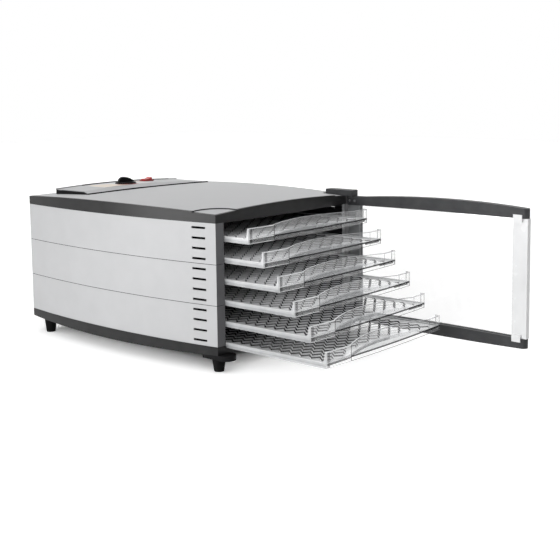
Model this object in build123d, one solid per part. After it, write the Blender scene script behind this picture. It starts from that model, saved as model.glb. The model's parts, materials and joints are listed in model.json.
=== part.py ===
from build123d import *
import os
from math import atan, degrees, hypot, sqrt

# Front-loading food dehydrator, millimetres. +Z is up, -Y is the door side, and the origin is
# on the floor under the middle of the body. The door stands open and the trays are drawn out.

# Body, measured at its corners
BODY_W = 346.0
BODY_D = 480.0
SIDE_BULGE = 18.0
FRONT_BOW = 8.0
STAND_H = 27.0
BASE_H = 13.4
SECTION_H = 65.6
SECTIONS = 3
LID_H = 14.8
LID_FRONT_RISE = 7.5
LID_REAR_RISE = 0.5
LID_RISE_Y = 7.0
BASE_DIP_X = 3.0
BASE_DIP_Y = 6.0

# Walls
SKIN_T = 1.5
POST_W = 16.5
POST_T = 4.0
SEAM_H = 0.9
SEAM_DEPTH = 0.7
BASE_WALL = 3.0
SILL_H = 8.5
RIM_W = 4.0
RIM_LEDGE_W = 8.0
LID_PANEL_T = 1.5
DECK_T = 2.5
REAR_T = 3.0
LINER_T = 2.0
FAN_BAY_D = 90.0
BAFFLE_T = 3.0

# Clearances
SEAT_GAP = 0.2
TRIM_GAP = 0.8
RUN_GAP = 0.06
TRAY_SIDE_GAP = 1.5
TRAY_REST_GAP = 0.3
SWEEP_GAP = 0.4

# Side vents
VENT_L = 26.5
VENT_H = 3.6
VENT_FROM_FRONT = 20.0
VENTS_PER_SECTION = 4

# Trays
TRAYS = 6
TRAY_REAR_GAP = 22.0
TRAY_PITCH = 34.0
TRAY_LOWEST = 10.0
TRAY_RAIL_H = 8.5
TRAY_LIP_H = 24.5
TRAY_WALL = 3.0
TRAY_BOW = 5.0
TRAY_LEDGE_T = 2.5
TRAY_TAB_LEFT = 57.0
TRAY_TAB_RIGHT = 36.0
TRAY_RECESS = 27.0
TRAY_HOME_INSET = 6.0
TRAY_FIRST_PULL = 58.0
TRAY_PULL_STEP = 30.0
FLOOR_T = 2.5
FLOOR_DROP = 2.0
SLOT_COLUMNS = 6
SLOT_ROWS = 6
SLOT_RIB = 8.0
SLOT_W = 20.0
SLOT_SHIFT = 24.0
RUNNER_W = 8.5
RUNNER_T = 3.0

# Door
DOOR_T = 14.0
DOOR_GAP = 3.0
DOOR_REACH = 349.0
DOOR_BOW = 8.0
DOOR_OPEN = 90.0
HINGE_INSET = 8.0
RAIL_H = 15.5
RAIL_RISE = 6.0
RAIL_DIP = 4.0
DOOR_END_GAP = 0.4
PANEL_T = 3.0
PANEL_SEAT = 4.0
STILE_W = 21.0
STILE_T = 10.0
HANDLE_W = 27.0
HANDLE_T = 10.0
HANDLE_TAB_W = 18.0
HANDLE_TAB_H = 6.0
HANDLE_TAB_T = 1.6
PIN_R = 3.0
PIN_ENGAGE = 11.0
SCREW_R = 2.4
SCREW_HEAD_H = 0.9
SCREW_PITCH = 10.0

# Hinge knuckle, front brackets and feet
KNUCKLE_W = 19.0
KNUCKLE_L = 60.0
KNUCKLE_H = 10.5
KNUCKLE_CORNER = 1.5
OVERHANG = 20.0
BRACKET_W = 30.0
BRACKET_BACK = 34.0
BRACKET_H = 8.0
FOOT_TOP_R = 11.0
FOOT_BOTTOM_R = 8.2
FOOT_SIDES = 18
FOOT_INSET_X = 9.5
FOOT_FROM_FRONT = 7.0
FOOT_FROM_REAR = 38.0
REAR_FOOT_SINK = 4.5
CAP_R = 46.0
CAP_DROP = 1.6
CAP_RIB_W = 1.6

# Control console on the lid
CONSOLE_LEFT_INSET = 35.0
CONSOLE_RIGHT_INSET = 6.0
CONSOLE_FROM_REAR = 35.0
CONSOLE_D = 91.5
CONSOLE_H = 14.0
CONSOLE_ARCH_R = 2600.0
CONSOLE_PEAK_X = -20.0
CONSOLE_WALL = 3.0
SLOPE_D = 13.5
SLOPE_H = 4.0
FRONT_TRIM_W = 2.0
FRONT_TRIM_H = 2.0
REAR_LIP_W = 2.4
REAR_LIP_H = 1.5
FACE_BORDER = 3.0
FACE_T = 1.2
CONTROL_FROM_BACK = 45.0
KNOB_X = -8.0
KNOB_R = 20.5
KNOB_TOP_R = 18.5
KNOB_BASE_H = 2.6
KNOB_FIN_L = 30.0
KNOB_FIN_W = 7.0
KNOB_FIN_H = 9.5
KNOB_FIN_NOSE_H = 2.0
KNOB_PEAK_SHIFT = 6.0
KNOB_TURN = -15.0
KNOB_SIDES = 28
SHAFT_R = 3.0
SHAFT_ENGAGE = 8.0
SCALE_T = 0.5
SCALE_L = 130.0
SCALE_D = 56.0
SCALE_SHIFT = -12.0
ROCKER_FROM_KNOB = 70.0
ROCKER_FROM_BACK = 27.0
ROCKER_L = 18.0
ROCKER_W = 12.0
ROCKER_PROUD = 4.5
ROCKER_DISH = 1.2
ROCKER_EDGE = 1.0
ROCKER_DEPTH = 4.0
ROCKER_TILT = 9.0
ROCKER_PIN_R = 1.5
BEZEL_WALL = 2.0
BEZEL_H = 2.2
SWITCH_H = 16.0
THERMOSTAT_W = 34.0
THERMOSTAT_D = 24.0
THERMOSTAT_H = 15.0

# Fan, heater and wiring in the rear compartment
FAN_R = 54.0
FAN_HUB_R = 14.0
FAN_BLADES = 5
BLADE_T = 2.0
BLADE_CHORD = 29.0
BLADE_PITCH = 28.0
FAN_FRONT_GAP = 15.0
FAN_DEPTH = 16.0
MOTOR_W = 58.0
MOTOR_H = 50.0
MOTOR_L = 24.0
MOTOR_FACE_W = 36.0
MOTOR_FACE_H = 22.0
MOTOR_FACE_T = 4.0
COIL_W = 30.0
COIL_H = 16.0
COIL_PROUD = 3.0
MOTOR_SHAFT_R = 2.5
BRACKET_PLATE_T = 2.5
MOTOR_BRACKET_W = 162.0
MOTOR_BRACKET_H = 26.0
STANDOFF_W = 8.0
HEATER_R = 60.0
HEATER_W = 6.4
HEATER_OPENING = 30.0
HEATER_SIDES = 24
HEATER_GAP = 3.5
HEATER_CLIPS = 3
CLIP_W = 9.0
BAFFLE_SLOTS = 8
BAFFLE_SLOT_H = 6.0
BAFFLE_SLOT_PITCH = 13.0
GRILLE_SLOTS = 9
GRILLE_SLOT_L = 120.0
GRILLE_SLOT_H = 5.0
GRILLE_PITCH = 11.0
CUTOUT_R = 8.0
CUTOUT_H = 7.0
CUTOUT_X = 95.0
TERMINAL_L = 36.0
TERMINAL_D = 14.0
TERMINAL_H = 16.0
TERMINALS = 3
TERMINAL_POCKET = 6.0
GLAND_R = 10.0
GLAND_NECK_R = 7.0
GLAND_BORE_R = 4.0
GLAND_FLANGE_T = 4.0
GLAND_INSET = 58.0
GLAND_Z = 30.0
COVER_SCREW_R = 3.5
COVER_SCREW_H = 1.8

# Levels and planes that follow from the sizes above
FRONT_Y = -BODY_D / 2
REAR_Y = BODY_D / 2
BASE_TOP = STAND_H + BASE_H
LID_BOTTOM = BASE_TOP + SECTIONS * SECTION_H
LID_CORNER = LID_BOTTOM + LID_H
FLOOR_Z = STAND_H + SILL_H
DECK_TOP = LID_BOTTOM + DECK_T
OPEN_X = BODY_W / 2 - POST_W
LINER_X = OPEN_X + LINER_T
LINER_FRONT = FRONT_Y + POST_T
BAFFLE_Y = REAR_Y - FAN_BAY_D
TRAY_HALF = OPEN_X - TRAY_SIDE_GAP
TRAY_D = BAFFLE_Y - TRAY_REAR_GAP - FRONT_Y - TRAY_HOME_INSET
HINGE_X = BODY_W / 2 - HINGE_INSET
HINGE_Y = FRONT_Y - DOOR_GAP - DOOR_T / 2
HINGE_AXIS = Axis((HINGE_X, HINGE_Y, 0), (0, 0, 1))
DOOR_LOW = STAND_H + DOOR_END_GAP
DOOR_HIGH = LID_CORNER - DOOR_END_GAP
FREE_X = HINGE_X - DOOR_REACH
DOOR_MID_X = HINGE_X - DOOR_REACH / 2
HINGE_FLAT = hypot(BRACKET_W - HINGE_INSET, OVERHANG - DOOR_GAP - DOOR_T / 2) + DOOR_GAP
DOOR_RADIUS = ((DOOR_REACH / 2) ** 2 + DOOR_BOW**2) / (2 * DOOR_BOW)
DOOR_CENTRE_Y = HINGE_Y - DOOR_BOW + DOOR_RADIUS
CONSOLE_LEFT = CONSOLE_LEFT_INSET - BODY_W / 2
CONSOLE_RIGHT = BODY_W / 2 - CONSOLE_RIGHT_INSET
CONSOLE_BACK = REAR_Y - CONSOLE_FROM_REAR
CONSOLE_FRONT = CONSOLE_BACK - CONSOLE_D
CONSOLE_Z = LID_CORNER + CONSOLE_H
CONTROL_Y = CONSOLE_BACK - CONTROL_FROM_BACK
SCALE_X = KNOB_X + SCALE_SHIFT
ROCKER_X = KNOB_X + ROCKER_FROM_KNOB
ROCKER_Y = CONSOLE_BACK - ROCKER_FROM_BACK
GLAND_X = BODY_W / 2 - GLAND_INSET
CAVITY_MID_Z = (FLOOR_Z + LID_BOTTOM) / 2
FAN_Y = BAFFLE_Y + BAFFLE_T + FAN_FRONT_GAP
MOTOR_Y = FAN_Y + FAN_DEPTH + BRACKET_PLATE_T + SWEEP_GAP
BRACKET_X = BODY_W / 2 - BRACKET_W / 2
FOOT_X = BODY_W / 2 - FOOT_INSET_X
FOOT_FRONT_Y = FRONT_Y + FOOT_FROM_FRONT
FOOT_REAR_Y = REAR_Y - FOOT_FROM_REAR
REAR_FOOT_H = STAND_H - REAR_FOOT_SINK
LOOK_FRONT = Plane((0, 0, 0), x_dir=(1, 0, 0), z_dir=(0, -1, 0))


def block(x0, x1, y0, y1, z0, z1):
    """A box between two corners."""
    middle = Pos((x0 + x1) / 2, (y0 + y1) / 2, (z0 + z1) / 2)
    return middle * Box(x1 - x0, y1 - y0, z1 - z0)


def rod(x, y, z0, z1, radius):
    """An upright cylinder."""
    return Pos(x, y, (z0 + z1) / 2) * Cylinder(radius, z1 - z0)


def rod_y(x, z, y0, y1, radius):
    """A cylinder that runs from front to back."""
    return Pos(x, (y0 + y1) / 2, z) * Rot(90, 0, 0) * Cylinder(radius, y1 - y0)


def sided_y(x, z, y0, y1, radius, sides=6):
    """A many-sided head or nut that runs from front to back."""
    plane = Plane((x, y0, z), x_dir=(1, 0, 0), z_dir=(0, 1, 0))
    return extrude(plane * RegularPolygon(radius, sides), y1 - y0)


def prism(face, z0, z1):
    """A plan outline raised between two levels."""
    return Pos(0, 0, z0) * extrude(face, z1 - z0)


def other_side(shape):
    """The same piece on the other side of the body."""
    return mirror(shape, about=Plane.YZ)


# Plan outlines


def outline(inset=0.0):
    """The body's plan: bowed front, bulging sides and a straight back."""
    x = BODY_W / 2 - inset
    front = FRONT_Y + inset
    back = REAR_Y - inset
    edges = [
        ThreePointArc((-x, front), (0, front - FRONT_BOW), (x, front)),
        ThreePointArc((x, front), (x + SIDE_BULGE, 0), (x, back)),
        Line((x, back), (-x, back)),
        ThreePointArc((-x, back), (-x - SIDE_BULGE, 0), (-x, front)),
    ]
    return make_face(edges)


def crown(corner_z, front_rise, rear_rise, rise_y, sections=5, depth=60.0):
    """Everything under a surface that arches both ways and passes corner_z at the body's corners."""
    half_w, half_d = BODY_W / 2, BODY_D / 2
    reach = half_w + 2 * SIDE_BULGE
    margin = 3 * FRONT_BOW
    low = corner_z - depth
    faces = []
    for i in range(sections):
        y = FRONT_Y - margin + i * (BODY_D + 2 * margin) / (sections - 1)
        side = corner_z + rise_y * (1 - (y / half_d) ** 2)
        rise = front_rise + (rear_rise - front_rise) * (y - FRONT_Y) / BODY_D
        edge = side + rise * (1 - (reach / half_w) ** 2)
        arch = ThreePointArc((-reach, edge), (0, side + rise), (reach, edge))
        walls = Polyline((reach, edge), (reach, low), (-reach, low), (-reach, edge))
        section = LOOK_FRONT * make_face([arch, *walls.edges()])
        faces.append(Pos(0, y, 0) * section)
    return loft(faces)


LID_CROWN = crown(LID_CORNER, LID_FRONT_RISE, LID_REAR_RISE, LID_RISE_Y)
BASE_CROWN = mirror(crown(-STAND_H, BASE_DIP_X, BASE_DIP_X, BASE_DIP_Y), about=Plane.XY)
LOWERED_CROWN = Pos(0, 0, -LID_PANEL_T) * LID_CROWN


# Base, side panels and liners


def base_solid():
    """The base before it is hollowed."""
    return prism(outline(), STAND_H - BASE_DIP_X - BASE_DIP_Y, BASE_TOP) & BASE_CROWN


def base_tray():
    """The black base: a floor with a skirt, open to the front over a low sill."""
    base = base_solid()
    base -= prism(outline(BASE_WALL), 0, FLOOR_Z - BASE_WALL)
    base -= block(-OPEN_X, OPEN_X, FRONT_Y - 2 * FRONT_BOW, LINER_FRONT, FLOOR_Z, BASE_TOP)
    base -= block(-LINER_X, LINER_X, LINER_FRONT, REAR_Y - REAR_T, FLOOR_Z, BASE_TOP)
    for side in (-1, 1):
        base += rod(side * FOOT_X, FOOT_REAR_Y, REAR_FOOT_H, FLOOR_Z - BASE_WALL, FOOT_TOP_R)
    return base


def panel_profile(inset):
    """Plan of the left wall: a bulging skin that turns in at the front as a post."""
    x = BODY_W / 2 - inset
    inner = BODY_W / 2 - SKIN_T
    front = FRONT_Y + inset
    slope = 4 * FRONT_BOW / BODY_W
    post = front - slope * POST_W
    back_of_post = FRONT_Y + POST_T
    edges = [
        ThreePointArc((-x, REAR_Y), (-x - SIDE_BULGE, 0), (-x, front)),
        Line((-x, front), (-OPEN_X, post)),
        Line((-OPEN_X, post), (-OPEN_X, back_of_post)),
        Line((-OPEN_X, back_of_post), (-inner, back_of_post)),
        ThreePointArc((-inner, back_of_post), (-inner - SIDE_BULGE, 0), (-inner, REAR_Y)),
        Line((-inner, REAR_Y), (-x, REAR_Y)),
    ]
    return make_face(edges)


def vent_cut(z):
    """One side vent, long enough to pass through the skin and the liner behind it."""
    middle_y = FRONT_Y + VENT_FROM_FRONT + VENT_L / 2
    plane = Plane((0, middle_y, z), x_dir=(0, 1, 0), z_dir=(-1, 0, 0))
    return extrude(plane * Rectangle(VENT_L, VENT_H), BODY_W)


def vent_levels(section):
    """Heights of the vents in one section."""
    pitch = SECTION_H / VENTS_PER_SECTION
    low = BASE_TOP + section * SECTION_H
    return [low + (i + 0.5) * pitch for i in range(VENTS_PER_SECTION)]


def left_panel(section):
    """One silver side panel, with the seam groove along its lower edge."""
    low = BASE_TOP + section * SECTION_H
    panel = prism(panel_profile(0), low + SEAM_H, low + SECTION_H)
    panel += prism(panel_profile(SEAM_DEPTH), low, low + SEAM_H)
    for z in vent_levels(section):
        panel -= vent_cut(z)
    return panel


def tray_level(index):
    """Underside of a tray. Tray 0 is the top one."""
    return STAND_H + TRAY_LOWEST + (TRAYS - 1 - index) * TRAY_PITCH


def left_liner():
    """Black inner wall with a runner under each tray."""
    liner = block(-LINER_X, -OPEN_X, LINER_FRONT, BAFFLE_Y, FLOOR_Z, LID_BOTTOM)
    middle_y = FRONT_Y + VENT_FROM_FRONT + VENT_L / 2
    for section in range(SECTIONS):
        for z in vent_levels(section):
            liner -= Pos(-LINER_X, middle_y, z) * Box(4 * LINER_T, VENT_L, VENT_H)
    for index in range(TRAYS):
        top = tray_level(index) - TRAY_REST_GAP
        low = max(top - RUNNER_T, FLOOR_Z)
        liner += block(-LINER_X, -OPEN_X + RUNNER_W, LINER_FRONT, BAFFLE_Y, low, top)
    return liner


# Lid


def console_outline(inset):
    """Plan of the control console with its front trim."""
    x0, x1 = CONSOLE_LEFT + inset, CONSOLE_RIGHT - inset
    y0, y1 = CONSOLE_FRONT - FRONT_TRIM_W + inset, CONSOLE_BACK - inset
    return Pos((x0 + x1) / 2, (y0 + y1) / 2) * Rectangle(x1 - x0, y1 - y0)


LID_HIGH = LID_CORNER + LID_FRONT_RISE + LID_RISE_Y


def rim_ring(drop):
    """The lid's black band with its inner ledge, lowered by a drop."""
    band = prism(outline() - outline(RIM_W), LID_BOTTOM, LID_HIGH) & Pos(0, 0, -drop) * LID_CROWN
    plan = outline(RIM_W) - outline(RIM_W + RIM_LEDGE_W) - console_outline(-SEAT_GAP)
    ledge = prism(plan, DECK_TOP, LID_HIGH)
    return band + (ledge & Pos(0, 0, -drop) * LOWERED_CROWN)


def lid_rim():
    """Black band round the lid, stepped down under the corner caps, with a rib round each cap."""
    corner = prism(cap_circle(CAP_R), LID_BOTTOM, LID_HIGH)
    corners = Compound(children=[corner, other_side(corner)])
    rim = (rim_ring(0) - corners) + (rim_ring(CAP_DROP) & corners)
    arc = outline(RIM_W) & (cap_circle(CAP_R + CAP_RIB_W) - cap_circle(CAP_R))
    rib = prism(arc, DECK_TOP, LID_HIGH) & LID_CROWN
    return rim + rib + other_side(rib)


def lid_sheet(face):
    """A piece of the crowned top sheet, cut to a plan outline."""
    return (prism(face, LID_BOTTOM, LID_HIGH) & LID_CROWN) - LOWERED_CROWN


def cap_circle(radius):
    """Round cut at the left front corner of the lid."""
    return Pos(-BODY_W / 2, FRONT_Y) * Circle(radius)


def lid_top_panel():
    """Silver crowned panel, cut away for the console and the two corner caps."""
    face = outline(RIM_W + SEAT_GAP) - console_outline(-TRIM_GAP)
    corner = cap_circle(CAP_R + CAP_RIB_W + SEAT_GAP)
    return lid_sheet(face - corner - other_side(corner))


def corner_cap():
    """Silver quarter-round cap at the left front corner, a step below the top panel."""
    return Pos(0, 0, -CAP_DROP) * lid_sheet(outline(RIM_W + SEAT_GAP) & cap_circle(CAP_R - SEAT_GAP))


def inner_deck():
    """Ceiling of the drying space, which also carries the console."""
    return prism(outline(RIM_W + SEAT_GAP), LID_BOTTOM, DECK_TOP)


def console_level(x):
    """Height of the console's arched top at x."""
    return CONSOLE_Z - CONSOLE_ARCH_R + sqrt(CONSOLE_ARCH_R**2 - (x - CONSOLE_PEAK_X) ** 2)


def console_block(inset, low, drop, front=0.0):
    """The console's arched block with its sloping front, drawn in by insets and lowered by a drop."""
    x0, x1 = CONSOLE_LEFT + inset, CONSOLE_RIGHT - inset
    left, right = console_level(x0) - drop, console_level(x1) - drop
    arch = ThreePointArc((x0, left), (CONSOLE_PEAK_X, CONSOLE_Z - drop), (x1, right))
    sides = Polyline((x1, right), (x1, low), (x0, low), (x0, left))
    depth = CONSOLE_D - inset - front
    body = extrude(LOOK_FRONT * make_face([arch, *sides.edges()]), depth)
    body = Pos(0, CONSOLE_BACK - inset, 0) * body
    face = body.faces().sort_by(Axis.Y)[0]
    return chamfer(face.edges().sort_by(Axis.Z)[-1], SLOPE_H, SLOPE_D, reference=face)


def control_housing():
    """Black console shell, open underneath, with a trim strip in front and a lip behind."""
    shell = console_block(0, DECK_TOP, FACE_T)
    middle = (CONSOLE_LEFT + CONSOLE_RIGHT) / 2
    wide = CONSOLE_RIGHT - CONSOLE_LEFT
    strip = Pos(middle, CONSOLE_FRONT - FRONT_TRIM_W / 2) * Rectangle(wide, FRONT_TRIM_W)
    shell += prism(strip, DECK_TOP, LID_HIGH + FRONT_TRIM_H) & Pos(0, 0, FRONT_TRIM_H) * LID_CROWN
    lip = block(CONSOLE_LEFT, CONSOLE_RIGHT, CONSOLE_BACK - REAR_LIP_W, CONSOLE_BACK, DECK_TOP, 2 * CONSOLE_Z)
    shell += console_block(0, DECK_TOP, -REAR_LIP_H) & lip
    shell -= console_block(CONSOLE_WALL, 0, CONSOLE_WALL + FACE_T, CONSOLE_WALL)
    shell -= rod(KNOB_X, CONTROL_Y, 0, 2 * CONSOLE_Z, SHAFT_R + SEAT_GAP)
    return shell - switch_cut(SEAT_GAP)


def control_faceplate():
    """Silver plate on the console, bent down along its front."""
    plate = console_block(FACE_BORDER, DECK_TOP, 0) - console_block(0, 0, FACE_T)
    plate -= rod(KNOB_X, CONTROL_Y, 0, 2 * CONSOLE_Z, SHAFT_R + SEAT_GAP)
    return plate - switch_cut(SEAT_GAP)


def switch_cut(gap):
    """Opening through the console for the rocker switch."""
    half_l = ROCKER_L / 2 + SWEEP_GAP + BEZEL_WALL / 2 + gap
    half_w = ROCKER_W / 2 + SWEEP_GAP + BEZEL_WALL / 2 + gap
    x0, x1 = ROCKER_X - half_l, ROCKER_X + half_l
    return block(x0, x1, ROCKER_Y - half_w, ROCKER_Y + half_w, DECK_TOP, 2 * CONSOLE_Z)


def dial_scale_plate():
    """Thin printed scale round the knob, lying on the arched faceplate."""
    x0 = SCALE_X - SCALE_L / 2
    y0 = CONTROL_Y - SCALE_D / 2
    plate = console_block(FACE_BORDER, DECK_TOP, -SCALE_T) - console_block(FACE_BORDER, DECK_TOP, 0)
    plate &= block(x0, x0 + SCALE_L, y0, y0 + SCALE_D, DECK_TOP, 2 * CONSOLE_Z)
    return plate - rod(KNOB_X, CONTROL_Y, 0, 2 * CONSOLE_Z, SHAFT_R + SEAT_GAP)


# Controls

KNOB_LOW = CONSOLE_Z + SCALE_T + SWEEP_GAP
ROCKER_SEAT = console_level(ROCKER_X - ROCKER_L / 2 - SWEEP_GAP - BEZEL_WALL)
ROCKER_AXIS_Z = ROCKER_SEAT + BEZEL_H / 2
SWITCH_TOP = ROCKER_AXIS_Z - ROCKER_DEPTH - SWEEP_GAP * 4


def control_knob():
    """Round skirt with an upright grip across it, high at the back and falling to a nose."""
    taper = degrees(atan((KNOB_R - KNOB_TOP_R) / KNOB_BASE_H))
    skirt = extrude(RegularPolygon(KNOB_R, KNOB_SIDES), KNOB_BASE_H, taper=taper)
    half = KNOB_FIN_L / 2
    top = KNOB_BASE_H + KNOB_FIN_H
    nose = KNOB_BASE_H + KNOB_FIN_NOSE_H
    peak = -KNOB_PEAK_SHIFT
    low = KNOB_BASE_H / 2
    back = TangentArc((peak, top), (-half, KNOB_BASE_H), tangent=(-1, 0))
    front = TangentArc((peak, top), (half, nose), tangent=(1, 0))
    foot = Polyline((-half, KNOB_BASE_H), (-half, low), (half, low), (half, nose))
    fin = extrude(LOOK_FRONT * make_face([back, front, *foot.edges()]), KNOB_FIN_W / 2, both=True)
    knob = skirt + fin - rod(0, 0, 0, SHAFT_ENGAGE, SHAFT_R)
    return Pos(KNOB_X, CONTROL_Y, KNOB_LOW) * Rot(0, 0, KNOB_TURN) * knob


def thermostat_shaft():
    """Spindle that the knob is pressed on."""
    low = thermostat_top() - THERMOSTAT_H / 2
    return rod(KNOB_X, CONTROL_Y, low, KNOB_LOW + SHAFT_ENGAGE, SHAFT_R)


def thermostat_top():
    """Level of the thermostat's top, against the console's ceiling."""
    return console_level(KNOB_X + THERMOSTAT_W / 2) - FACE_T - CONSOLE_WALL - SEAT_GAP


def thermostat_body():
    """Thermostat under the console, with a bush for the spindle."""
    top = thermostat_top()
    half = THERMOSTAT_W / 2
    y0, y1 = CONTROL_Y - THERMOSTAT_D / 2, CONTROL_Y + THERMOSTAT_D / 2
    body = block(KNOB_X - half, KNOB_X + half, y0, y1, top - THERMOSTAT_H, top)
    return body - rod(KNOB_X, CONTROL_Y, top - THERMOSTAT_H / 2, top, SHAFT_R + RUN_GAP)


def rocker_bezel():
    """Frame of the rocker switch, with bearing holes for the rocker's pins."""
    half_l = ROCKER_L / 2 + SWEEP_GAP
    half_w = ROCKER_W / 2 + SWEEP_GAP
    low = ROCKER_SEAT
    wide = BEZEL_WALL
    bezel = block(
        ROCKER_X - half_l - wide, ROCKER_X + half_l + wide,
        ROCKER_Y - half_w - wide, ROCKER_Y + half_w + wide, low, low + BEZEL_H,
    )
    neck = BEZEL_WALL / 2
    bezel += block(
        ROCKER_X - half_l - neck, ROCKER_X + half_l + neck,
        ROCKER_Y - half_w - neck, ROCKER_Y + half_w + neck, SWITCH_TOP, low,
    )
    bezel -= block(
        ROCKER_X - half_l, ROCKER_X + half_l, ROCKER_Y - half_w, ROCKER_Y + half_w, 0, 2 * CONSOLE_Z,
    )
    reach = ROCKER_W / 2 + SWEEP_GAP + BEZEL_WALL / 2
    return bezel - rod_y(ROCKER_X, ROCKER_AXIS_Z, ROCKER_Y - reach, ROCKER_Y + reach, ROCKER_PIN_R + RUN_GAP)


def switch_body():
    """Switch block under the rocker."""
    half_l = ROCKER_L / 2 + SWEEP_GAP + BEZEL_WALL / 2
    half_w = ROCKER_W / 2 + SWEEP_GAP + BEZEL_WALL / 2
    return block(
        ROCKER_X - half_l, ROCKER_X + half_l,
        ROCKER_Y - half_w, ROCKER_Y + half_w, SWITCH_TOP - SWITCH_H, SWITCH_TOP,
    )


def power_rocker():
    """Rocker with a dished top and two pivot pins, standing in one of its two positions."""
    half = ROCKER_L / 2
    top = [(-half, ROCKER_PROUD), (0, ROCKER_PROUD - ROCKER_DISH), (half, ROCKER_PROUD)]
    under = [(half, -ROCKER_EDGE), (0, -ROCKER_DEPTH), (-half, -ROCKER_EDGE)]
    face = make_face(Polyline(*top, *under, close=True).edges())
    rocker = Pos(0, ROCKER_W / 2, 0) * extrude(LOOK_FRONT * face, ROCKER_W)
    reach = ROCKER_W / 2 + SWEEP_GAP + BEZEL_WALL / 2 - SEAT_GAP
    rocker += rod_y(0, 0, -reach, reach, ROCKER_PIN_R)
    return Pos(ROCKER_X, ROCKER_Y, ROCKER_AXIS_Z) * Rot(0, -ROCKER_TILT, 0) * rocker


# Rear compartment


def air_baffle():
    """Wall between the drying space and the fan, with air slots that fill a circle."""
    baffle = block(-LINER_X, LINER_X, BAFFLE_Y, BAFFLE_Y + BAFFLE_T, FLOOR_Z, LID_BOTTOM)
    for i in range(BAFFLE_SLOTS):
        rise = (i - (BAFFLE_SLOTS - 1) / 2) * BAFFLE_SLOT_PITCH
        half = sqrt(FAN_R**2 - rise**2)
        z = CAVITY_MID_Z + rise
        baffle -= block(-half, half, 0, REAR_Y, z - BAFFLE_SLOT_H / 2, z + BAFFLE_SLOT_H / 2)
    return baffle


def rear_cover():
    """Back plate with the intake grille and the hole for the cord gland."""
    half = BODY_W / 2 - SKIN_T - SEAT_GAP
    cover = block(-half, half, REAR_Y - REAR_T, REAR_Y, BASE_TOP, LID_BOTTOM)
    for i in range(GRILLE_SLOTS):
        z = CAVITY_MID_Z + (i - (GRILLE_SLOTS - 1) / 2) * GRILLE_PITCH
        low, high = z - GRILLE_SLOT_H / 2, z + GRILLE_SLOT_H / 2
        cover -= block(-GRILLE_SLOT_L / 2, GRILLE_SLOT_L / 2, REAR_Y - 2 * REAR_T, REAR_Y + REAR_T, low, high)
    return cover - rod_y(GLAND_X, BASE_TOP + GLAND_Z, REAR_Y - 2 * REAR_T, REAR_Y + REAR_T, GLAND_NECK_R)


def rear_cover_screws():
    """Hexagon heads that hold the back plate."""
    x = BODY_W / 2 - POST_W
    heads = []
    for side in (-1, 1):
        for z in (BASE_TOP + POST_W, CAVITY_MID_Z, LID_BOTTOM - POST_W):
            heads.append(sided_y(side * x, z, REAR_Y, REAR_Y + COVER_SCREW_H, COVER_SCREW_R))
    return Compound(children=heads)


def cord_gland():
    """Bush with a hexagon flange in the back plate, bored for the mains lead."""
    z = BASE_TOP + GLAND_Z
    gland = sided_y(GLAND_X, z, REAR_Y, REAR_Y + GLAND_FLANGE_T, GLAND_R)
    gland += rod_y(GLAND_X, z, REAR_Y - 2 * REAR_T, REAR_Y, GLAND_NECK_R)
    return gland - rod_y(GLAND_X, z, REAR_Y - 3 * REAR_T, REAR_Y + 2 * GLAND_FLANGE_T, GLAND_BORE_R)


def terminal_block():
    """Terminal strip behind the gland, on the compartment's floor."""
    x0 = GLAND_X - TERMINAL_L - GLAND_R
    back = REAR_Y - REAR_T
    top = FLOOR_Z + TERMINAL_H
    strip = block(x0, x0 + TERMINAL_L, back - TERMINAL_D, back, FLOOR_Z, top)
    for i in range(TERMINALS):
        x = x0 + TERMINAL_L * (i + 0.5) / TERMINALS
        strip -= Pos(x, back - TERMINAL_D / 2, top) * Box(TERMINAL_POCKET, TERMINAL_POCKET, TERMINAL_H)
    return strip


def fan_motor():
    """Shaded-pole motor: a bearing plate, the core and a coil below, with a blind bearing."""
    middle = CAVITY_MID_Z
    core_y = MOTOR_Y + MOTOR_FACE_T
    back = core_y + MOTOR_L
    foot = middle - MOTOR_H / 2
    motor = block(-MOTOR_W / 2, MOTOR_W / 2, core_y, back, foot, middle + MOTOR_H / 2)
    half_h = MOTOR_FACE_H / 2
    motor += block(-MOTOR_FACE_W / 2, MOTOR_FACE_W / 2, MOTOR_Y, core_y, middle - half_h, middle + half_h)
    front, rear = core_y - COIL_PROUD, back + COIL_PROUD
    motor += block(-COIL_W / 2, COIL_W / 2, front, rear, foot - COIL_PROUD, foot - COIL_PROUD + COIL_H)
    return motor - rod_y(0, middle, MOTOR_Y, MOTOR_Y + MOTOR_L / 2, MOTOR_SHAFT_R + RUN_GAP)


def motor_bracket():
    """Strap across the motor's face on two standoffs from the baffle."""
    half = MOTOR_BRACKET_W / 2
    low, high = CAVITY_MID_Z - MOTOR_BRACKET_H / 2, CAVITY_MID_Z + MOTOR_BRACKET_H / 2
    strap = block(-half, half, MOTOR_Y - BRACKET_PLATE_T, MOTOR_Y, low, high)
    strap -= rod_y(0, CAVITY_MID_Z, MOTOR_Y - 2 * BRACKET_PLATE_T, MOTOR_Y + 1, MOTOR_SHAFT_R * 2)
    for side in (-1, 1):
        x = side * (half - STANDOFF_W)
        x0, x1 = x - STANDOFF_W / 2, x + STANDOFF_W / 2
        z0, z1 = CAVITY_MID_Z - STANDOFF_W / 2, CAVITY_MID_Z + STANDOFF_W / 2
        strap += block(x0, x1, BAFFLE_Y + BAFFLE_T, MOTOR_Y - BRACKET_PLATE_T, z0, z1)
    return strap


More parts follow.
